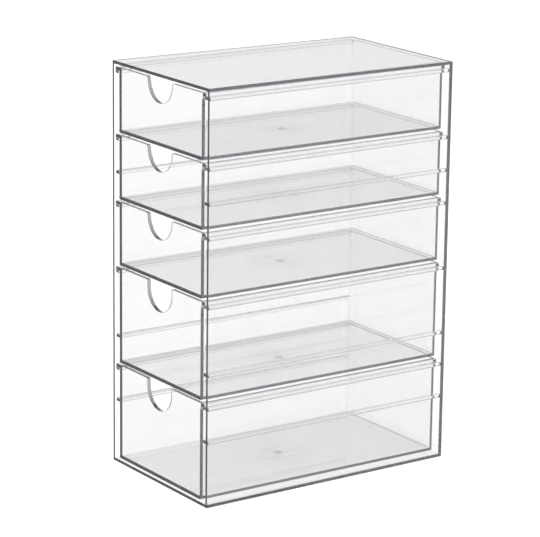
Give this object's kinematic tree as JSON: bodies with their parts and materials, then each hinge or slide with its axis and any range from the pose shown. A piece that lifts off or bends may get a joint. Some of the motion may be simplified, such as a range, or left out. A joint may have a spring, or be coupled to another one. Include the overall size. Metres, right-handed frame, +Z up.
{
  "type": "clear drawer organizer",
  "caption": "Tall clear plastic drawer tower for cosmetics: an open-fronted case with side rails and sliding trays that have half-round finger notches.",
  "frame": {"origin": "middle of the case's underside, where it rests", "axes": "+Z up, the drawers open towards -Y, +X to the right as seen from the front"},
  "size_m": [0.14, 0.233, 0.332],
  "materials": {
    "clear_case": "clear moulded polystyrene, polished",
    "clear_drawer": "clear moulded polystyrene, polished"
  },
  "bodies": {
    "case": {"case": "clear_case"},
    "small_drawer_1": {"small_drawer_1": "clear_drawer"},
    "small_drawer_2": {"small_drawer_2": "clear_drawer"},
    "small_drawer_3": {"small_drawer_3": "clear_drawer"},
    "large_drawer_1": {"large_drawer_1": "clear_drawer"},
    "large_drawer_2": {"large_drawer_2": "clear_drawer"}
  },
  "joints": [
    {"name": "small_drawer_1_slide", "type": "slide", "parent": "case", "child": "small_drawer_1", "axis": [0, -1, 0], "range_m": [0, 0.17]},
    {"name": "small_drawer_2_slide", "type": "slide", "parent": "case", "child": "small_drawer_2", "axis": [0, -1, 0], "range_m": [0, 0.17]},
    {"name": "small_drawer_3_slide", "type": "slide", "parent": "case", "child": "small_drawer_3", "axis": [0, -1, 0], "range_m": [0, 0.17]},
    {"name": "large_drawer_1_slide", "type": "slide", "parent": "case", "child": "large_drawer_1", "axis": [0, -1, 0], "range_m": [0, 0.17]},
    {"name": "large_drawer_2_slide", "type": "slide", "parent": "case", "child": "large_drawer_2", "axis": [0, -1, 0], "range_m": [0, 0.17]}
  ]
}
